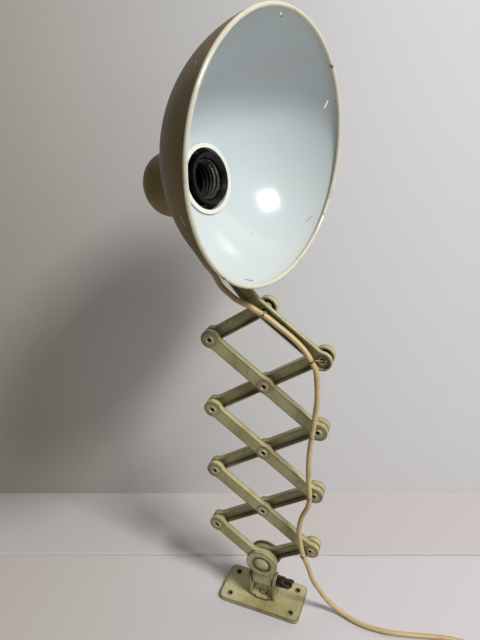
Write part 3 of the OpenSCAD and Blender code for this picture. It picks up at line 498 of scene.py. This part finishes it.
# the lead in mm: the knots of its centre line from the shade to the table, and the coil with its plug end.
# bentBy names the knot past which a run lies wholly along its lower body, where that isn't its end
lead = {
    "width": 4.7, "sides": 20, "sample": 1.6, "coilSample": 2.2, "bentBy": {"cordHead": 3, "cordDrop3": 2},
    "entry": [(-63, 4, 405.6), (-61.8, 3.6, 400.3), (-61.3, 1, 393.5), (-58, -2.6, 386.3), (-52.5, -5.6, 380)],
    "head": [(-47, -7.2, 374.6), (-41.1, -8, 369.1), (-34.1, -9, 359.1), (-27.6, -10, 354.4),
             (-20.3, -11.8, 350.9), (-14.4, -12, 348.8), (-8.8, -11.6, 346.6), (-4.3, -10.9, 343.6)],
    "arm": [(1, -10.6, 341), (11.5, -9.6, 333.5), (24.1, -9.6, 324.7), (34.2, -10.4, 316.1), (38, -11.9, 312.5)],
    "span1": [(41, -12.6, 308), (44.6, -11.8, 301), (46, -10.8, 289.4), (47, -10.2, 271.9),
              (45.9, -10.2, 253.6)],
    "span2": [(44.4, -10.6, 233.7), (43.3, -10.2, 220.3), (42.9, -10, 205), (43.4, -10, 190.1),
              (44.5, -10.3, 176.4)],
    "span3": [(45.5, -10.6, 165.2), (44.8, -10.2, 155.6), (39.6, -10, 139.2), (37.2, -10, 122.9),
              (38.8, -10.2, 107.8)],
    "drop1": [(42.9, -10.6, 89.5), (48, -9.2, 74.7), (51.6, -8, 60.8), (54, -6, 52)],
    "drop2": [(58.8, -3, 40), (64.5, 1.5, 24.5), (72.3, 5, 11.6)],
    "drop3": [(82.5, 5.2, 4.8), (92.7, 2.9, 2.75), (102, 1.1, 2.75), (111.3, 0.5, 2.75), (129.8, 1.8, 2.75),
              (142, 4.4, 2.75), (154.2, 7.6, 2.75), (177.4, 13.8, 2.75), (195.5, 17, 2.75), (214, 16.2, 2.75)],
    "coil": {"centre": (238, -24, 2.75), "inner": 24, "step": 6, "turns": 5, "climb": 0.5, "perTurn": 24,
             "bulge": 2, "straight": (12, 24)},
}
# each run: its name, its knots, the bodies of its upper and lower end, and the solid that it stands for
leadRuns = [
    ("cordEntry", "entry", "head", "tilt", "cord_head"),
    ("cordHead", "head", "tilt", "arm", "cord_head"),
    ("cordArm", "arm", "arm", "arm", "cord_arm"),
    ("cordSpan1", "span1", "back_3", "front_3", "cord_span_1"),
    ("cordSpan2", "span2", "back_2", "front_2", "cord_span_2"),
    ("cordSpan3", "span3", "back_1", "front_1", "cord_span_3"),
    ("cordDrop1", "drop1", "back_0", "front_0", "cord_drop"),
    ("cordDrop2", "drop2", "front_0", "knuckle", "cord_drop"),
    ("cordDrop3", "drop3", "knuckle", "bracket", "cord_drop"),
]


def coilPath(c, width):
    # in along r = outer - step * turns in the lower layer, up one step through climb turns at the middle,
    # out again above it, then straight to the plug; half of the turns lie in each layer
    whole = c["turns"] + c["climb"]
    turn = np.linspace(0, whole, int(c["perTurn"] * whole) + 1)
    layer = c["turns"] / 2
    climb = np.clip((turn - layer) / c["climb"], 0, 1)
    outer = c["inner"] + c["step"] * layer
    r = np.where(turn < layer, outer - c["step"] * turn,
                 np.where(turn < layer + c["climb"], c["inner"] - c["bulge"] * np.sin(math.pi * climb),
                          c["inner"] + c["step"] * (turn - layer - c["climb"])))
    a = math.pi / 2 - 2 * math.pi * turn
    rise = c["step"] * climb**2 * (3 - 2 * climb)
    path = np.stack([r * np.cos(a), r * np.sin(a), rise], 1) + c["centre"]
    start, last = path[0], path[-1]
    return np.concatenate([[start - [width, 0, 0]], path, [last - [x, 0, 0] for x in c["straight"]]])


def makeLead(c):
    # one smooth path through all knots, cut at each run's first knot; a run on one body is attached to it, and a
    # run from the body that holds its upper end to another at its lower end is left unattached
    knots = [np.array(c[key], float) for _, key, _, _, _ in leadRuns]
    coil = coilPath(c["coil"], c["width"])
    through = np.concatenate(knots + [coil[:2]])
    whole = smoothPath(through, c["sample"])
    cuts = np.cumsum([0] + [len(k) for k in knots])
    marks = [int(np.argmin(np.linalg.norm(whole - through[k], axis=1))) for k in cuts]
    made = []
    for (name, key, upper, lower, node), a, b in zip(leadRuns, marks[:-1], marks[1:]):
        run = whole[a:b + 1]
        last = c[key][c["bentBy"][name]] if name in c["bentBy"] else run[-1]
        body = upper if upper == lower else (upper, lower, run[0], last)
        made.append((name, run, body, node, [0, 1, 0]))
    joined = smoothPath(np.concatenate([whole[marks[-1]:marks[-1] + 1], coil[1:]]), c["coilSample"])
    made.append(("cordCoil", joined, "bracket", "cord_coil", [0, 0, 1]))
    things = {}
    for name, path, body, node, up in made:
        coiled = name == "cordCoil"
        rings = ringsAlong(path, c["width"] / 2, c["sides"], up)
        things[name] = meshOf(name, [{"points": rings, "caps": True}], finishes["cord"], body, [node])
        length = float(np.linalg.norm(np.diff(path, axis=0), axis=1).sum() * mm)
        things[name + "Facts"] = dict(exit=tuple(path[0] * mm), length=length, diameter=c["width"] * mm,
                                      far_end="plug" if coiled else "object", stiffness="medium",
                                      lay="coiled" if coiled else "loose", path=(path * mm).tolist())
    return things


# the pivots of the scissor in mm, counted from the foot
pivotOf = {j["name"]: np.array(j["pos_m"]) / mm for j in frame["record"]["behaviour"]["joints"]}
middle = [pivotOf[n] for n in ("swing", "mid_1", "mid_2", "mid_3", "mid_4")]
left = [pivotOf[n] for n in ("extend", "left_2", "left_3", "left_4")]
right = [p * (-1, 1, 1) for p in left]

# radii and half lengths in mm; lip is how far the last point lies inside the bore and under the head
rivet = {"bore": 2.1, "barrel": 3.0, "head": 3.8, "collar": 4.1, "collarHalf": 4.7, "face": 6.4, "rise": 0.6,
         "lip": (0.12, 0.6), "sides": 40}


def rivetProfile(c):
    # hollow barrel with a collar between the webs; each head is rolled out in a half ellipse
    turn = np.linspace(0, math.pi, 11)
    centre, reach = (c["head"] + c["bore"]) / 2, (c["head"] - c["bore"]) / 2
    roll = np.stack([centre + reach * np.cos(turn), c["face"] + c["rise"] * np.sin(turn)], 1)
    half = [(c["collar"], 0), (c["collar"], c["collarHalf"]), (c["barrel"], c["collarHalf"]),
            (c["barrel"], c["face"])]
    half = np.concatenate([half, roll, [(c["bore"] - c["lip"][0], c["face"] - c["lip"][1])]])
    return np.concatenate([half, (half * (1, -1))[:0:-1]])


def makeRivets(c):
    # the profile revolved about the line of each pivot
    groups = {"rivets_1": ("front_1", [right[0], middle[1], left[1]]),
              "rivets_2": ("front_2", [right[1], middle[2], left[2]]),
              "rivets_3": ("front_3", [right[2], middle[3], left[3]]),
              "arm_rivets": ("arm", [right[3], middle[4]]),
              "half_bar_rivet": ("front_0", [left[0]])}
    for node, (body, places) in groups.items():
        grids = [revolve(rivetProfile(c), place, (0, -1, 0), c["sides"]) for place in places]
        meshOf("rolled_" + node, grids, finishes["rivet_metal"], body, [node])


makeRivets(rivet)

# wire radius and lengths in mm; gap and clear lie between wire and lead, open is the angle left at each end of
# the wrap, pitch and apart count in wire radii, and up is a direction that no wire follows
tie = {"wire": 0.35, "turns": 2, "twists": 3, "knee": 7.6, "tail": 1.55, "gap": 0.1, "clear": 0.5, "open": 0.25,
       "perTurn": 22, "pitch": 2.1, "apart": 1.05, "sides": 8, "up": (0.13, 0.31, 0.94)}


def tiePath(c, at, pivot, lean):
    # turns round the lead as a helix, then both ends twisted together and led into the pivot's hollow rivet
    out = np.array([math.cos(lean), 0, -math.sin(lean)])
    along = np.array([math.sin(lean), 0, math.cos(lean)])
    ring = lead["width"] / 2 + c["gap"] + c["wire"]
    a = np.linspace(c["open"], 2 * math.pi * c["turns"] - c["open"], c["perTurn"] * c["turns"])[:, None]
    rise = (a / (2 * math.pi) - c["turns"] / 2) * c["pitch"] * c["wire"]
    wrap = at + ring * (np.cos(a) * out + np.sin(a) * [0, 1, 0]) + rise * along
    tail = pivot + c["tail"] * out
    knee = tail - [0, c["knee"], 0]
    gather = at + (ring + c["clear"]) * out
    share = np.linspace(0, 1, 16)[:, None]
    narrowing = np.linspace(1, 0.9, 6)[:, None]
    down = np.linspace(0.1, 0.55, 6)[:, None]
    pair = []
    for side in (1, -1):
        spin = side * c["wire"] * c["apart"]
        phase = 2 * math.pi * c["twists"] * share
        line = gather + (knee - gather) * share
        strand = line + spin * (np.cos(phase) * along + np.sin(phase) * [0, 1, 0])
        pair.append(np.concatenate([strand, knee + spin * along * narrowing + (tail - knee) * down]))
    return np.concatenate([pair[1][::-1], wrap, pair[0]])


def makeTies(c):
    # one tie at the first knot of each run that starts at a pivot; the lean is in degrees
    places = {"tie_1": ("front_1", [("drop1", right[0], -16)]),
              "tie_2": ("front_2", [("span3", right[1], -1)]),
              "tie_3": ("front_3", [("span2", right[2], 4)]),
              "arm_ties": ("arm", [("span1", right[3], -30), ("arm", middle[4], -57)])}
    for node, (body, ties) in places.items():
        grids = []
        for run, pivot, lean in ties:
            path = tiePath(c, np.array(lead[run][0], float), pivot, math.radians(lean))
            grids.append({"points": ringsAlong(path, c["wire"], c["sides"], c["up"]), "caps": True})
        meshOf("twisted_" + node, grids, finishes["tie_wire"], body, [node])


makeTies(tie)

# the lamp thread in mm; fade is the plain run-out at each end
shell = {"middle": np.array(mouth["pos_m"]) / mm, "axis": np.array(mouth["axis"]), "length": 18.5,
         "radius": 13.7, "wave": 0.42, "pitch": 3.6, "wall": 0.25, "fade": 1.6, "rows": 72, "sides": 72}


def makeShell(c):
    # rolled thread: the radius rises and falls along a helix, and runs out plain at both ends
    h = np.linspace(-0.5, 0.5, c["rows"])[:, None] * c["length"]
    turn = np.linspace(0, 2 * math.pi, c["sides"], endpoint=False)[None, :]
    fade = np.clip((c["length"] / 2 - np.abs(h)) / c["fade"], 0, 1)
    r = c["radius"] + fade * c["wave"] * np.cos(2 * math.pi * h / c["pitch"] - turn)
    other = np.cross(c["axis"], [0, 0, 1])
    other /= np.linalg.norm(other)
    third = np.cross(c["axis"], other)
    spoke = np.cos(turn)[..., None] * other + np.sin(turn)[..., None] * third
    inner = c["middle"] + h[..., None] * c["axis"] + (r - c["wall"])[..., None] * spoke
    outer = c["middle"] + h[..., None] * c["axis"] + (r + c["wall"])[..., None] * spoke
    grid = {"points": np.concatenate([inner, outer[::-1]]), "ring": True}
    meshOf("threadedShell", [grid], finishes["shell_brass"], "head", ["screw_shell"])


makeShell(shell)

# hub and wings in mm, lean in degrees; spine holds points along the hub and away from it, half the half widths of
# a wing from root to tip, round is the hub's edge, tip the rounding of a wing's end, and full the half width from
# which it has its whole thickness
wing = {"hub": 5.6, "hubLong": 8.5, "bore": 3.1, "lean": 55, "thick": 2.0, "round": 1.4, "sample": 0.55,
        "tip": 0.9, "full": 2.4, "sides": 24, "hubSides": 40,
        "spine": [(2.4, 3.4), (5.2, 6.0), (8.6, 8.6), (11.6, 9.9), (14.2, 10.1), (16.2, 9.8)],
        "half": [3.6, 3.0, 2.7, 2.7, 2.6, 1.6]}


def makeWingNut(c):
    # domed hub and two forged wings: an oval section swept along a bent spine, thick at the root
    turn = np.linspace(0, 2 * math.pi, c["sides"], endpoint=False)[None, :, None]
    start = np.array([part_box("wing_nut")[0][0] / mm, 0, pivotOf["wing_turn"][2]])
    lean = math.radians(c["lean"])
    reach = np.array([0, -math.sin(lean), math.cos(lean)])
    flat = np.array([0, math.cos(lean), math.sin(lean)])
    edge = c["round"]
    rim = [(c["hub"] - edge + edge * math.cos(a), c["hubLong"] - edge + edge * math.sin(a))
           for a in np.linspace(0, math.pi / 2, 7)]
    foot = [(c["bore"], 0.2), (c["hub"] - 0.4, 0), (c["hub"], 0.5)]
    grids = [revolve(foot + rim + [(c["bore"], c["hubLong"] - 0.1)], start, (1, 0, 0), c["hubSides"])]
    spine = smoothPath([(x, r, 0) for x, r in c["spine"]], c["sample"])[:, :2]
    along = np.linspace(0, len(c["half"]) - 1, len(spine))
    half = np.interp(along, range(len(c["half"])), c["half"])
    tip = np.clip((len(c["half"]) - 1 - along) / c["tip"], 0, 1)
    half = half * np.sqrt(tip * (2 - tip)) + 0.05
    way = np.gradient(spine, axis=0)
    way /= np.linalg.norm(way, axis=1, keepdims=True)
    thick = c["thick"] * np.sqrt(np.clip(half / c["full"], 0, 1))
    for side in (1, -1):
        centre = start + spine[:, :1] * [1, 0, 0] + side * spine[:, 1:] * reach
        across = -way[:, 1:] * np.array([1, 0, 0]) + side * way[:, :1] * reach
        points = (centre[:, None] + half[:, None, None] * np.cos(turn) * across[:, None]
                  + thick[:, None, None] * np.sin(turn) * flat)
        grids.append({"points": points, "caps": True})
    meshOf("forgedWingNut", grids, finishes["dark_metal"], "wing", ["wing_nut"])


makeWingNut(wing)

# the plug in mm: grip is where its ribs start after the neck, end before the pin face and fade in, waist its
# depth, flatter the share of the trim above and below, square how far the section leaves the ellipse
plugShape = {"neck": 12.0, "neckStart": 3.55, "neckEnd": 5.5, "shoulder": 3.5, "rib": 0.35, "ribPitch": 2.4,
             "fillet": 1.6, "grip": (8, 9, 2), "waist": 0.7, "flatter": 0.6, "square": 0.42, "sides": 56}


def makePlug(c):
    # ribbed strain relief, soft shoulders, a waist with grip ribs and a rounded pin face
    low, high = (np.array(v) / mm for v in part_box("plug"))
    span = high[0] - low[0]
    s = np.unique(np.concatenate([np.linspace(0, c["neck"], 31), np.linspace(c["neck"], span - c["fillet"], 61),
                                  span - c["fillet"] * (1 - np.sin(np.linspace(0, math.pi / 2, 7)))]))
    ribs = c["rib"] * np.cos(2 * math.pi * s / c["ribPitch"])
    neck = c["neckStart"] + (c["neckEnd"] - c["neckStart"]) * np.clip(s / c["neck"], 0, 1)
    neck = neck + ribs * (s < c["neck"])
    into = np.clip((s - c["neck"]) / c["shoulder"], 0, 1)
    into = np.sqrt(into * (2 - into))
    after, before, fade = c["grip"]
    gripped = np.clip((s - c["neck"] - after) / fade, 0, 1) * np.clip((span - before - s) / fade, 0, 1)
    end = np.clip((s - span + c["fillet"]) / c["fillet"], 0, 1)
    trim = gripped * (c["waist"] + ribs) + c["fillet"] * (1 - np.sqrt(1 - end**2 * 0.999))
    wide = neck + into * ((high[1] - low[1]) / 2 - neck) - trim
    tall = neck + into * ((high[2] - low[2]) / 2 - neck) - trim * c["flatter"]
    power = 1 - c["square"] * into[:, None]
    turn = np.linspace(0, 2 * math.pi, c["sides"], endpoint=False)[None, :]
    cos, sin = np.cos(turn), np.sin(turn)
    y = wide[:, None] * np.sign(cos) * np.abs(cos)**power + (low[1] + high[1]) / 2
    z = tall[:, None] * np.sign(sin) * np.abs(sin)**power + (low[2] + high[2]) / 2
    x = np.broadcast_to(high[0] - s[:, None], y.shape)
    grid = {"points": np.stack([x, y, z], -1), "caps": True}
    meshOf("grippedPlug", [grid], finishes["bakelite"], "bracket", ["plug"])


makePlug(plugShape)
print("small pieces made")

cords = makeLead(lead)
print("lead laid")

# lines of the wall's foot and of the board's front in mm, all else in metres and watts. A lamp shines on aim
# from a direction; inGloss ones show only in reflections, the others only light and cast the shadows
# floorShade and wallShade are painted shade, darker towards the left end of the wall's line
studio = {"floor": (196, 192, 193), "floorShade": (190, 184, 177), "wall": (216, 216, 217),
          "wallShade": (166, 162, 151), "shadeFrom": (-0.36, 0.1), "foot": ((-246.9, 61.9), (118.2, 197.1)),
          "board": (190, 184, 182), "boardLine": ((-301.6, -60.1), (214.9, 132.6)), "boardStep": 3.0,
          "boardDeep": 0.5, "floorHalf": 4, "wallReach": 3, "sky": 0.125, "skyTint": (0.95, 0.97, 1.0, 1),
          "lampTint": (1.0, 0.992, 0.98), "lampHeight": 0.9}
lamps = {
    "window": {"aim": (0, 0, 0.38), "from": (0.62, -0.337, 0.709), "far": 1.3, "size": 0.28, "power": 19.5,
               "inGloss": True},
    "daylight": {"aim": (0, -0.015, 0.462), "from": (0.648, -0.2, 0.728), "far": 2.4, "size": 0.52, "power": 62,
                 "inGloss": False},
    "room": {"aim": (0, -0.015, 0.462), "from": (0.8, -0.36, 0.44), "far": 1.5, "size": 0.9, "power": 4.5,
             "inGloss": False},
}


def stageSheet(name, colour, corners, shade=None, span=None):
    # a flat sheet; its colour passes from the painted shade colour to its own colour along the wall's line, over
    # span in metres, so it is darker towards the left
    f = Finish(name, Roughness=0.75)
    mixed = srgb(*colour)
    if shade:
        (ax, ay), (bx, by) = studio["foot"]
        size = math.hypot(bx - ax, by - ay)
        run = f.vector("DOT_PRODUCT", f.place, ((bx - ax) / size, (by - ay) / size, 0), out="Value")
        mixed = f.mix(run.between(*span), srgb(*shade), srgb(*colour))
    f.feed(f.shader.inputs["Base Color"], mixed)
    mesh = bpy.data.meshes.new(name)
    mesh.from_pydata(corners, [], [tuple(range(len(corners)))])
    mesh.materials.append(f.material)
    thing = bpy.data.objects.new(name, mesh)
    bpy.context.scene.collection.objects.link(thing)
    return f


def makeSheets(c):
    # the floor, the wall on its foot line, and a low board before it with its front edge rounded over
    half = c["floorHalf"]
    stageSheet("floor", c["floor"], [(-half, -half, 0), (half, -half, 0), (half, half, 0), (-half, half, 0)],
               c["floorShade"], c["shadeFrom"])
    reach = c["wallReach"]
    a, b = (np.array(p) * mm for p in c["foot"])
    way = (b - a) / np.linalg.norm(b - a)
    ends = [a - way * reach, b + way * reach]
    wall = stageSheet("wall", c["wall"],
                      [(*ends[0], 0), (*ends[1], 0), (*ends[1], reach), (*ends[0], reach)],
                      c["wallShade"], c["shadeFrom"])
    near, far = (np.array(p) * mm for p in c["boardLine"])
    run = (far - near) / np.linalg.norm(far - near)
    back = np.array([-run[1], run[0]])
    step = c["boardStep"] * mm
    strip = [(back * step * (1 - math.cos(t)), step * math.sin(t)) for t in np.linspace(0, math.pi / 2, 7)]
    strip.append((back * c["boardDeep"], step))
    ends = [near - run * reach, far + run * reach]
    for k, ((low, z0), (high, z1)) in enumerate(zip(strip[:-1], strip[1:])):
        stageSheet(f"board{k}", c["board"], [(*(ends[0] + low), z0), (*(ends[1] + low), z0),
                                             (*(ends[1] + high), z1), (*(ends[0] + high), z1)])
    # seen from behind, the wall is clear, so that the lamp can be looked at from every side
    clear = wall.node("BsdfTransparent")["BSDF"]
    hidden = wall.node("NewGeometry")["Backfacing"]
    shown = Wire(wall, wall.shader.outputs[0])
    both = wall.node("MixShader", None, {0: hidden, 1: shown, 2: clear})["Shader"]
    wall.feed(wall.tree.nodes["Material Output"].inputs["Surface"], both)


def makeLights(c):
    # area lamps turned from their place towards their aim, and an even sky
    for name, k in lamps.items():
        aim = Vector(k["aim"])
        lamp = bpy.data.lights.new(name, "AREA")
        lamp.shape, lamp.energy = "RECTANGLE", k["power"]
        lamp.size, lamp.size_y = k["size"], k["size"] * c["lampHeight"]
        lamp.color = c["lampTint"]
        key = bpy.data.objects.new(name, lamp)
        key.location = aim + Vector(k["from"]).normalized() * k["far"]
        key.rotation_euler = (aim - key.location).to_track_quat("-Z", "Y").to_euler()
        key.visible_glossy, key.visible_diffuse = k["inGloss"], not k["inGloss"]
        bpy.context.scene.collection.objects.link(key)
    world = bpy.data.worlds.new("room")
    world.use_nodes = True
    world.node_tree.nodes["Background"].inputs["Color"].default_value = c["skyTint"]
    world.node_tree.nodes["Background"].inputs["Strength"].default_value = c["sky"]
    bpy.context.scene.world = world


makeSheets(studio)
makeLights(studio)
bpy.context.scene.view_settings.view_transform = "Standard"
print("studio set")
